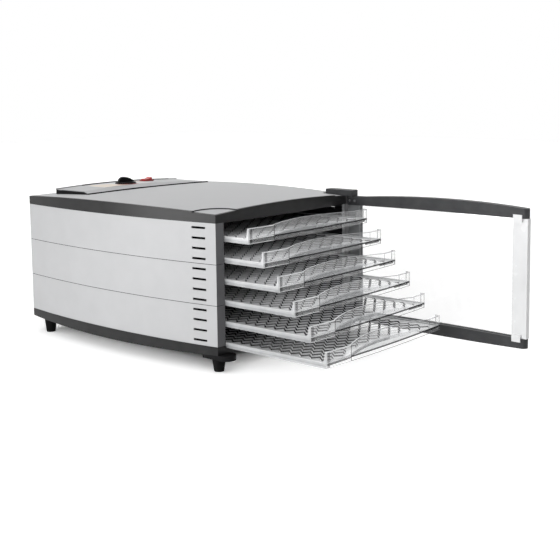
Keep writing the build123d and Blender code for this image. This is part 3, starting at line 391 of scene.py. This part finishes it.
DOOR_CLEAR = clear_plastic(
    "door_clear", (0.84, 0.85, 0.86), (0.90, 0.91, 0.91), 0.025, (0.02, 0.04), glance=0.14)
TRAY_CLEAR = clear_plastic("tray_clear", (0.80, 0.81, 0.82), (0.88, 0.89, 0.90), 0.08, (0.08, 0.14))
TRAY_TAB = clear_plastic("tray_tab", (0.80, 0.81, 0.82), (0.90, 0.91, 0.92), 0.09, (0.08, 0.14))
# Painted highlights on the left of each tray, which faces the light: the left rail's wall and rim, the left
# corner post and the left tab's side
TRAY_LEFT_HIGHLIGHT = clear_plastic("tray_left_highlight", (0.60, 0.61, 0.62), (0.70, 0.71, 0.72), 0.62, (0.25, 0.35))
LEFT_RAIL_HIGHLIGHT = clear_plastic("left_rail_highlight", (0.38, 0.39, 0.40), (0.48, 0.49, 0.50), 0.7, (0.25, 0.35))
TRAY_FLOOR = clear_plastic("tray_floor", (0.84, 0.85, 0.86), (0.92, 0.93, 0.94), 0.55, (0.2, 0.3))
# Painted highlight along edges of the clear plastic: the lip's tops, the right rail's rim and lines on the
# left tab
TRAY_HIGHLIGHT = clear_plastic("tray_highlight", (0.58, 0.59, 0.60), (0.70, 0.71, 0.72), 0.8, (0.15, 0.25))
TRAY_LEDGE = clear_plastic("tray_ledge", (0.40, 0.41, 0.42), (0.50, 0.51, 0.52), 0.45, (0.15, 0.25))
# Painted shade: dark grey lines along edges of the clear plastic
EDGE_SHADE_LINE = clear_plastic(
    "edge_shade_line", (0.13, 0.13, 0.135), (0.18, 0.18, 0.185), 0.75, (0.15, 0.25), glance=0.04)
# Painted shade: a dark band beside the left corner post and at the foot of the right corner
CORNER_SHADE_BAND = clear_plastic(
    "corner_shade_band", (0.03, 0.03, 0.032), (0.06, 0.06, 0.063), 0.5, (0.15, 0.25), glance=0.04)
# Painted shade: near-black slot walls apart from those along the zigs, and dark lines along the ledge's front
# and at the recess's left end
TRAY_PAINTED_SHADE = clear_plastic(
    "tray_painted_shade", (0.010, 0.010, 0.011), (0.018, 0.018, 0.020), 0.93, (0.2, 0.3), glance=0.02)
SLOT_WALLS = [slot_walls(level) for level in range(TRAYS)]

# Finish of each solid, by its own name or else by its slot

BY_SLOT = {
    "silver_paint": SILVER, "black_plastic": BLACK, "clear_plastic": DOOR_CLEAR, "pale_plastic": PALE,
    "grey_plastic": GREY, "rubber": RUBBER, "red_plastic": RED, "printed_scale": PRINT,
    "insulator": INSULATOR, "steel": STEEL,
}
BY_NODE = {
    "left_runner_liner": INNER, "right_runner_liner": INNER, "inner_deck": INNER, "air_baffle": INNER,
    "lid_rim": RIM_BLACK, "base_tray": RIM_BLACK, "control_housing": CONSOLE_BLACK, "rocker_bezel": BEZEL_RED,
    "door_top_rail": DOOR_BLACK, "door_bottom_rail": DOOR_BLACK, "top_hinge_knuckle": DOOR_BLACK,
}
for part in frame["record"]["subparts"]:
    mesh = frame["nodes"][part["node"]].data
    mesh.materials.clear()
    mesh.materials.append(BY_NODE.get(part["node"], BY_SLOT[part["material_slot"]]))


# Ways to build pieces


def filled(name, loops, low, high):
    """A flat plate between two levels, from closed outlines in plan: an edge, then its holes."""
    curve = bpy.data.curves.new(name, "CURVE")
    curve.dimensions = "2D"
    curve.fill_mode = "BOTH"
    curve.extrude = (high - low) / 2
    for loop in loops:
        spline = curve.splines.new("POLY")
        spline.points.add(len(loop) - 1)
        for point, (x, y) in zip(spline.points, loop):
            point.co = (x, y, 0, 1)
        spline.use_cyclic_u = True
    holder = add_object(name, curve)
    bpy.context.view_layer.update()
    mesh = bpy.data.meshes.new_from_object(holder.evaluated_get(bpy.context.evaluated_depsgraph_get()))
    bpy.data.objects.remove(holder)
    bpy.data.curves.remove(curve)
    mesh.transform(Matrix.Translation((0, 0, (low + high) / 2)))
    return mesh


def joined(name, meshes):
    """One mesh made of several."""
    pieces = [add_object(f"{name}_{i}", mesh) for i, mesh in enumerate(meshes)]
    with bpy.context.temp_override(active_object=pieces[0], selected_editable_objects=pieces):
        bpy.ops.object.join()
    mesh = pieces[0].data
    bpy.data.objects.remove(pieces[0])
    return mesh


def bow(x, depth, half):
    """How far a shallow arc of a given depth stands forward at x."""
    return depth * (1 - (x / half) ** 2)


def spread(start, end, steps):
    """Evenly spaced values."""
    return [start + (end - start) * i / steps for i in range(steps + 1)]


class Sheets:
    """Gathers thin sheets, each with its own finish, into one mesh."""

    def __init__(self):
        self.points = []
        self.faces = []
        self.finishes = []

    def face(self, corners, finish):
        """One flat sheet."""
        start = len(self.points)
        self.points += corners
        self.faces.append(range(start, start + len(corners)))
        self.finishes.append(finish)

    def ribbon(self, first, second, finish):
        """Sheets between two lines of points."""
        for a, b, c, d in zip(first, first[1:], second[1:], second):
            self.face([a, b, c, d], finish)

    def upright(self, line, low, high, finish):
        """A wall along a line in plan."""
        self.ribbon([(x, y, low) for x, y in line], [(x, y, high) for x, y in line], finish)

    def level(self, line, back, z, finish):
        """A flat band behind a line in plan."""
        self.ribbon([(x, y, z) for x, y in line], [(x, y + back, z) for x, y in line], finish)

    def mesh(self, name):
        """The mesh of all the sheets."""
        mesh = bpy.data.meshes.new(name)
        mesh.from_pydata(self.points, [], self.faces)
        kinds = list(dict.fromkeys(self.finishes))
        for kind in kinds:
            mesh.materials.append(kind)
        for polygon, finish in zip(mesh.polygons, self.finishes):
            polygon.material_index = kinds.index(finish)
        return mesh


# Lines of a tray in plan, with its front corners at y = 0


def front_line(x):
    """The tray's front edge."""
    return -bow(x, TRAY_BOW, HALF)


def recess_line(x):
    """The wall of the finger recess."""
    middle = (MOUTH_LEFT + MOUTH_RIGHT) / 2
    reach = (MOUTH_RIGHT - MOUTH_LEFT) / 2
    return -TRAY_BOW / 2 + bow(x - middle, RECESS - TRAY_BOW / 2, reach)


def floor_front(x):
    """Where the floor begins behind the lip."""
    return max(recess_line(x) if MOUTH_LEFT < x < MOUTH_RIGHT else 0, 0) + WALL


def front_points(start, end, steps):
    """Points along the front edge."""
    return [(x, front_line(x)) for x in spread(start, end, steps)]


def forward(line, lift):
    """A line brought forward a little."""
    return [(x, y - lift) for x, y in line]


LEFT_TAB = front_points(-HALF, MOUTH_LEFT, TAB_STEPS)
MOUTH = front_points(MOUTH_LEFT, MOUTH_RIGHT, MOUTH_STEPS)
RIGHT_TAB = front_points(MOUTH_RIGHT, HALF, TAB_STEPS)
RECESS_WALL = [(x, recess_line(x)) for x in spread(MOUTH_LEFT, MOUTH_RIGHT, RECESS_STEPS)]

# Frame of a tray


def add_lip(sheets):
    """The two tabs, the recessed lip between them and the skirt below it, with painted highlights on their
    tops and painted shade along the recess's top edge and the skirt's top.
    """
    for tab in (LEFT_TAB, RIGHT_TAB):
        sheets.upright(tab, 0, LIP_H, TRAY_TAB)
        sheets.level(tab, WALL, LIP_H, TRAY_HIGHLIGHT)
    sheets.upright(RECESS_WALL, RAIL_H, LIP_H, TRAY_TAB)
    sheets.level(RECESS_WALL, WALL, LIP_H, TRAY_HIGHLIGHT)
    sheets.upright(forward(RECESS_WALL, LINE_LIFT), LIP_H - LINE_H, LIP_H, EDGE_SHADE_LINE)
    sheets.upright(MOUTH, 0, RAIL_H - LEDGE_T, TRAY_CLEAR)
    sheets.upright(MOUTH, RAIL_H - LEDGE_T, RAIL_H, TRAY_PAINTED_SHADE)


def add_rails(sheets):
    """The side rails, each with a rim of its own finish: a painted highlight on the left rail's wall and rim,
    and along the right rail's rim.
    """
    for x, wall, rim in ((-HALF, LEFT_RAIL_HIGHLIGHT, TRAY_LEFT_HIGHLIGHT), (HALF, TRAY_CLEAR, TRAY_HIGHLIGHT)):
        side = [(x, 0), (x, TRAY_D)]
        sheets.upright(side, 0, RAIL_H - RAIL_RIM, wall)
        sheets.upright(side, RAIL_H - RAIL_RIM, RAIL_H, rim)
        inner = x - math.copysign(WALL, x)
        sheets.ribbon([(x, y, RAIL_H) for _, y in side], [(inner, y, RAIL_H) for _, y in side], rim)


def add_tab_sides(sheets):
    """Sides of the tabs: a hollow curve down to the left rail, with a painted highlight, and a square return
    on the right, with painted shade lines along its edges.
    """
    curve = []
    for turn in spread(0, math.pi / 2, GUSSET_STEPS):
        y = TAB_RETURN - (TAB_RETURN - GUSSET_TOP) * math.sin(turn)
        z = LIP_H - (LIP_H - RAIL_H) * math.cos(turn)
        curve.append((-HALF, y, z))
    sheets.face([(-HALF, 0, LIP_H), (-HALF, 0, RAIL_H)] + curve, TRAY_LEFT_HIGHLIGHT)
    inside = HALF - LINE_LIFT
    line_y = TAB_RETURN - LINE_W
    sheets.upright([(HALF, 0), (HALF, TAB_RETURN)], RAIL_H, LIP_H, TRAY_TAB)
    sheets.upright([(inside, line_y), (inside, TAB_RETURN)], RAIL_H, LIP_H, EDGE_SHADE_LINE)
    sheets.upright([(inside, 0), (inside, line_y)], LIP_H - LINE_H, LIP_H, EDGE_SHADE_LINE)


def add_rear_and_ledge(sheets):
    """The rear wall, and the ledge between the front edge and the floor."""
    sheets.upright([(-HALF, TRAY_D), (HALF, TRAY_D)], 0, RAIL_H, TRAY_CLEAR)
    front = LEFT_TAB + MOUTH[1:-1] + RIGHT_TAB
    behind = [(x, floor_front(x), RAIL_H) for x, _ in front]
    sheets.ribbon([(x, y, RAIL_H) for x, y in front], behind, TRAY_LEDGE)


def add_front_lines(sheets):
    """Upright bars, and lines along the edges, just before the front: painted highlights and painted shade.
    """
    bars = [
        (-HALF, POST_W, 0, LIP_H, TRAY_LEFT_HIGHLIGHT),
        (POST_W - HALF, CORNER_SHADE_W, 0, LIP_H, CORNER_SHADE_BAND),
        (MOUTH_LEFT, LINE_W, 0, LIP_H, TRAY_PAINTED_SHADE),
        (MOUTH_RIGHT, LINE_W, 0, LIP_H, EDGE_SHADE_LINE),
        (HALF - LINE_W, LINE_W, RAIL_H, LIP_H, EDGE_SHADE_LINE),
        (HALF - POST_W, POST_W, 0, RAIL_H, CORNER_SHADE_BAND),
    ]
    for x, width, low, high, finish in bars:
        sheets.upright(forward(front_points(x, x + width, 1), LINE_LIFT), low, high, finish)
    edges = [
        (LEFT_TAB, LIP_H, LINE_H, TRAY_HIGHLIGHT),
        (LEFT_TAB, RAIL_H, LINE_H, TRAY_HIGHLIGHT),
        (LEFT_TAB, LINE_H, LINE_H, TRAY_HIGHLIGHT),
        (RIGHT_TAB, LIP_H, LINE_H, EDGE_SHADE_LINE),
        (RIGHT_TAB, RAIL_H, LEDGE_T, TRAY_PAINTED_SHADE),
        (RIGHT_TAB, LINE_H, LINE_H, EDGE_SHADE_LINE),
        (MOUTH, LINE_H, LINE_H, EDGE_SHADE_LINE),
    ]
    for line, high, height, finish in edges:
        sheets.upright(forward(line, 2 * LINE_LIFT), high - height, high, finish)


def frame_sheets():
    """Frame of a tray."""
    sheets = Sheets()
    add_lip(sheets)
    add_rails(sheets)
    add_tab_sides(sheets)
    add_rear_and_ledge(sheets)
    add_front_lines(sheets)
    return sheets.mesh("tray_frame")


# Floor of a tray


def zigzag(start, front):
    """Outline of one zigzag slot that runs from a start point to the front edge of the floor."""
    line = [start]
    while (line[-1] + ZIG + ZAG).y > front:
        line += [line[-1] + ZIG, line[-1] + ZIG + ZAG]
    last = line[-1] + ZIG
    rest = (last.y - front) / -ZAG.y
    if rest > LEAST_ZAG:
        line += [last, last + rest * ZAG]
    return line + [point + STRIP_W for point in reversed(line)]


def floor_outlines():
    """Edge of the floor in plan, then its slots side by side, every other one further forward."""
    rear = TRAY_D - WALL
    half = HALF - WALL
    edge = [(x, floor_front(x)) for x in spread(-half, half, FLOOR_STEPS)]
    loops = [edge + [(half, rear), (-half, rear)]]
    slot = ZIG.x + STRIP_W.x
    steps = int((2 * (half - FLOOR_EDGE) - slot) / STRIP_STEP.x)
    first = -(steps * STRIP_STEP.x + slot) / 2
    for k in range(steps + 1):
        drop = STRIP_STEP.y if k % 2 == 0 else 0
        start = Vector((first + k * STRIP_STEP.x, rear - FLOOR_EDGE - STRIP_W.y - drop))
        front = max(floor_front(start.x), floor_front(start.x + slot)) + FLOOR_EDGE
        loops.append([tuple(point) for point in zigzag(start, front)])
    return loops


def floor_plate():
    """Slotted floor, open below: clear on top, with walls along the zigs in painted light and shade, and
    painted shade on the other walls.
    """
    mesh = filled("floor", floor_outlines(), FLOOR_TOP - FLOOR_T, FLOOR_TOP)
    shape = bmesh.new()
    shape.from_mesh(mesh)
    under = [face for face in shape.faces if face.normal.z < -LEVEL_FACING]
    bmesh.ops.delete(shape, geom=under, context="FACES")
    shape.to_mesh(mesh)
    shape.free()
    finishes = [TRAY_FLOOR, SLOT_WALLS[0], TRAY_PAINTED_SHADE]
    for finish in finishes:
        mesh.materials.append(finish)
    across = Vector((-ZIG.y, ZIG.x)).normalized()
    for face in mesh.polygons:
        finish = TRAY_PAINTED_SHADE
        if abs(face.normal.z) >= LEVEL_FACING:
            finish = TRAY_FLOOR
        elif abs(face.normal.xy.dot(across)) > ZIG_FACING:
            finish = SLOT_WALLS[0]
        face.material_index = finishes.index(finish)
    return mesh


# Trays: each one replaces the frame and floor solids of its level

TRAY_MESH = joined("tray", [frame_sheets(), floor_plate()])
clear_trays = []
for k in range(1, TRAYS + 1):
    low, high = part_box(f"tray_{k}_frame")
    mesh = TRAY_MESH.copy()
    mesh.materials[mesh.materials.find(SLOT_WALLS[0].name)] = SLOT_WALLS[k - 1]
    mesh.transform(Matrix.Translation((0, high.y - TRAY_D, low.z)))
    tray = add_object(f"clear_tray_{k}", mesh)
    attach(tray, f"tray_{k}")
    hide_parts(f"tray_{k}_frame", f"tray_{k}_floor")
    clear_trays.append(tray)


# Lines between the side panels


def side_line(sign):
    """Plan of one side wall from the rear to the inner edge of its front post."""
    line = []
    for y in spread(BODY_D / 2, -BODY_D / 2, SIDE_STEPS):
        line.append((sign * (BODY_W / 2 + bow(y, SIDE_BULGE, BODY_D / 2) - SEAM_DEPTH), y))
    corner_x, corner_y = line[-1]
    line.append((corner_x - sign * PANEL_POST, corner_y - POST_BOW))
    return line


seams = Sheets()
for panel in ("left_panel_middle", "left_panel_upper"):
    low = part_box(panel)[0].z
    for sign in (-1, 1):
        seams.upright(side_line(sign), low, low + SEAM_H, SEAM)
seam_lines = add_object("seam_lines", seams.mesh("seam_lines"))
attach(seam_lines, "housing")

# Print on the dial: finish, turn in degrees and distance from the knob's axis of each sector

SECTORS = [
    (CREAM, (158, 236), (27.0 * MM, 74.0 * MM)),
    (RED, (190, 300), (20.8 * MM, 27.0 * MM)),
    (PEACH, (5, 32), (38.0 * MM, 52.0 * MM)),
]
PLATE_LOW, PLATE_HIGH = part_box("dial_scale_plate")
KNOB_LOW, KNOB_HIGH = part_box("control_knob")
HUB = (KNOB_LOW + KNOB_HIGH) / 2


def plate_point(x, y):
    """A point just above the arched scale plate."""
    return (x, y, PLATE_HIGH.z - (x - ARCH_PEAK) ** 2 / (2 * ARCH_R) + PRINT_LIFT)


def room(hub, low, high, step):
    """How far a spoke can run before it nears the plate's edge along one axis."""
    edge = high - hub if step > 0 else hub - low
    return edge / max(abs(step), LEAST_SPOKE) - PRINT_MARGIN


def print_sector(sheets, finish, turns, reach):
    """Part of a printed ring round the knob, kept on the scale plate."""
    inner, outer = reach
    spokes = []
    for turn in spread(*turns, RING_STEPS):
        dx = math.cos(math.radians(turn))
        dy = math.sin(math.radians(turn))
        room_x = room(HUB.x, PLATE_LOW.x, PLATE_HIGH.x, dx)
        room_y = room(HUB.y, PLATE_LOW.y, PLATE_HIGH.y, dy)
        along = spread(inner, min(outer, room_x, room_y), SPOKE_STEPS)
        spokes.append([plate_point(HUB.x + r * dx, HUB.y + r * dy) for r in along])
    for first, second in zip(spokes, spokes[1:]):
        sheets.ribbon(first, second, finish)


dial = Sheets()
for sector in SECTORS:
    print_sector(dial, *sector)
dial_print = add_object("dial_print", dial.mesh("dial_print"))
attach(dial_print, "housing")

# Stage, light and camera


def seen_or_mirrored(tree, as_light, as_seen):
    """One value for rays that only light the scene, another for those the eye or a mirror sends out."""
    path = tree.nodes.new("ShaderNodeLightPath")
    either = add_math(tree, "MAXIMUM", path.outputs["Is Camera Ray"], path.outputs["Is Glossy Ray"])
    return add_span(tree, either, 0.0, 1.0, as_light, as_seen)


def floor_finish():
    """Pale finish that keeps the shadow and is lifted to white, but not under the body, where leaving out the
    lift paints a shadow.
    """
    material, tree, shader = new_material("stage_floor")
    shader.inputs["Base Color"].default_value = (FLOOR_TONE, FLOOR_TONE, FLOOR_TONE, 1)
    shader.inputs["Roughness"].default_value = FLOOR_ROUGH
    shader.inputs["Specular IOR Level"].default_value = 0.0
    shader.inputs["Emission Color"].default_value = (1, 1, 1, 1)
    spot = add_axes(tree, "ShaderNodeTexCoord", "Object")
    beyond = []
    for axis, reach in (("X", BODY_W / 2), ("Y", BODY_D / 2)):
        distance = add_math(tree, "ABSOLUTE", spot[axis])
        beyond.append(add_span(tree, distance, reach - LIFT_NONE, reach - LIFT_FULL))
    outside = add_math(tree, "MAXIMUM", *beyond)
    lift = seen_or_mirrored(tree, 0.0, FLOOR_LIFT)
    tree.links.new(add_math(tree, "MULTIPLY", lift, outside), shader.inputs["Emission Strength"])
    return material


def white_floor():
    """The floor that the object stands on."""
    corners = [(x * FLOOR_REACH, y * FLOOR_REACH, 0) for x, y in ((-1, -1), (1, -1), (1, 1), (-1, 1))]
    mesh = bpy.data.meshes.new("stage_floor")
    mesh.from_pydata(corners, [], [(0, 1, 2, 3)])
    mesh.materials.append(floor_finish())
    floor = add_object("stage_floor", mesh)
    floor.location.z = -FLOOR_DROP
    return floor


def studio_world():
    """White surroundings: full white to the eye, dim as light."""
    world = bpy.data.worlds.new("studio")
    bpy.context.scene.world = world
    world.use_nodes = True
    tree = world.node_tree
    background = tree.nodes["Background"]
    background.inputs["Color"].default_value = (1, 1, 1, 1)
    tree.links.new(seen_or_mirrored(tree, WORLD_LIGHT, WORLD_WHITE), background.inputs["Strength"])


def linked(name, pieces, state):
    """A group for linking light, which takes in or leaves out some pieces."""
    group = bpy.data.collections.new(name)
    for piece in pieces:
        group.objects.link(piece)
    for entry in group.collection_objects:
        entry.light_linking.link_state = state
    return group


def aimed(holder, direction):
    """Turns a lamp to shine in a direction."""
    holder.rotation_euler = direction.to_track_quat("-Z", "Y").to_euler()


def add_sun(name, towards, strength, angle):
    """A distant soft lamp, given by the direction towards it."""
    lamp = bpy.data.lights.new(name, "SUN")
    lamp.energy = strength
    lamp.angle = angle
    holder = add_object(name, lamp)
    aimed(holder, -Vector(towards))
    return holder


def add_lamp(name, place, target, size, power):
    """A soft square lamp aimed at a point."""
    lamp = bpy.data.lights.new(name, "AREA")
    lamp.shape = "SQUARE"
    lamp.size = size
    lamp.energy = power
    holder = add_object(name, lamp)
    holder.location = place
    aimed(holder, Vector(target) - Vector(place))
    return holder


def add_lights(floor, trays):
    """Overhead suns for the object and the ground, one for the trays, and light from the left."""
    nodes = frame["nodes"]
    lid = [nodes["lid_rim"], nodes["lid_top_panel"]]
    door = [nodes[name] for name in frame["record"]["behaviour"]["bodies"]["door"]]
    top_sun = add_sun("top", *TOP_SUN)
    top_sun.light_linking.receiver_collection = linked("all_but_floor", [floor], "EXCLUDE")
    ground_sun = add_sun("ground", *GROUND_SUN)
    ground_sun.light_linking.receiver_collection = linked("floor_alone", [floor], "INCLUDE")
    ground_sun.light_linking.blocker_collection = linked("shadow_free", trays + door, "EXCLUDE")
    add_sun("left", *LEFT_SUN)
    tray_sun = add_sun("trays", *TRAY_SUN)
    tray_sun.light_linking.receiver_collection = linked("trays_alone", trays, "INCLUDE")
    tray_sun.light_linking.blocker_collection = linked("tray_shade", trays + lid, "INCLUDE")
    add_lamp("softbox", *SOFTBOX)
    glint = add_lamp("glint", *GLINT)
    glint.visible_diffuse = False


def add_camera():
    """The camera, from the solved eye point, angles and focal length."""
    forth = Vector((math.sin(YAW) * math.cos(PITCH), math.cos(YAW) * math.cos(PITCH), -math.sin(PITCH)))
    level = Vector((math.cos(YAW), -math.sin(YAW), 0))
    upright = level.cross(forth)
    right = level * math.cos(ROLL) + upright * math.sin(ROLL)
    up = upright * math.cos(ROLL) - level * math.sin(ROLL)
    data = bpy.data.cameras.new("camera")
    data.sensor_width = SENSOR
    data.lens = FOCAL_PX / FRAME_PX * SENSOR
    data.shift_x = (FRAME_PX / 2 - CENTRE_PX[0]) / FRAME_PX
    data.shift_y = (CENTRE_PX[1] - FRAME_PX / 2) / FRAME_PX
    camera = add_object("camera", data)
    turn = Matrix((right, up, -forth)).transposed().to_4x4()
    camera.matrix_world = Matrix.Translation(EYE) @ turn
    bpy.context.scene.camera = camera


studio_world()
add_lights(white_floor(), clear_trays)
add_camera()
bpy.context.scene.view_settings.view_transform = "Standard"
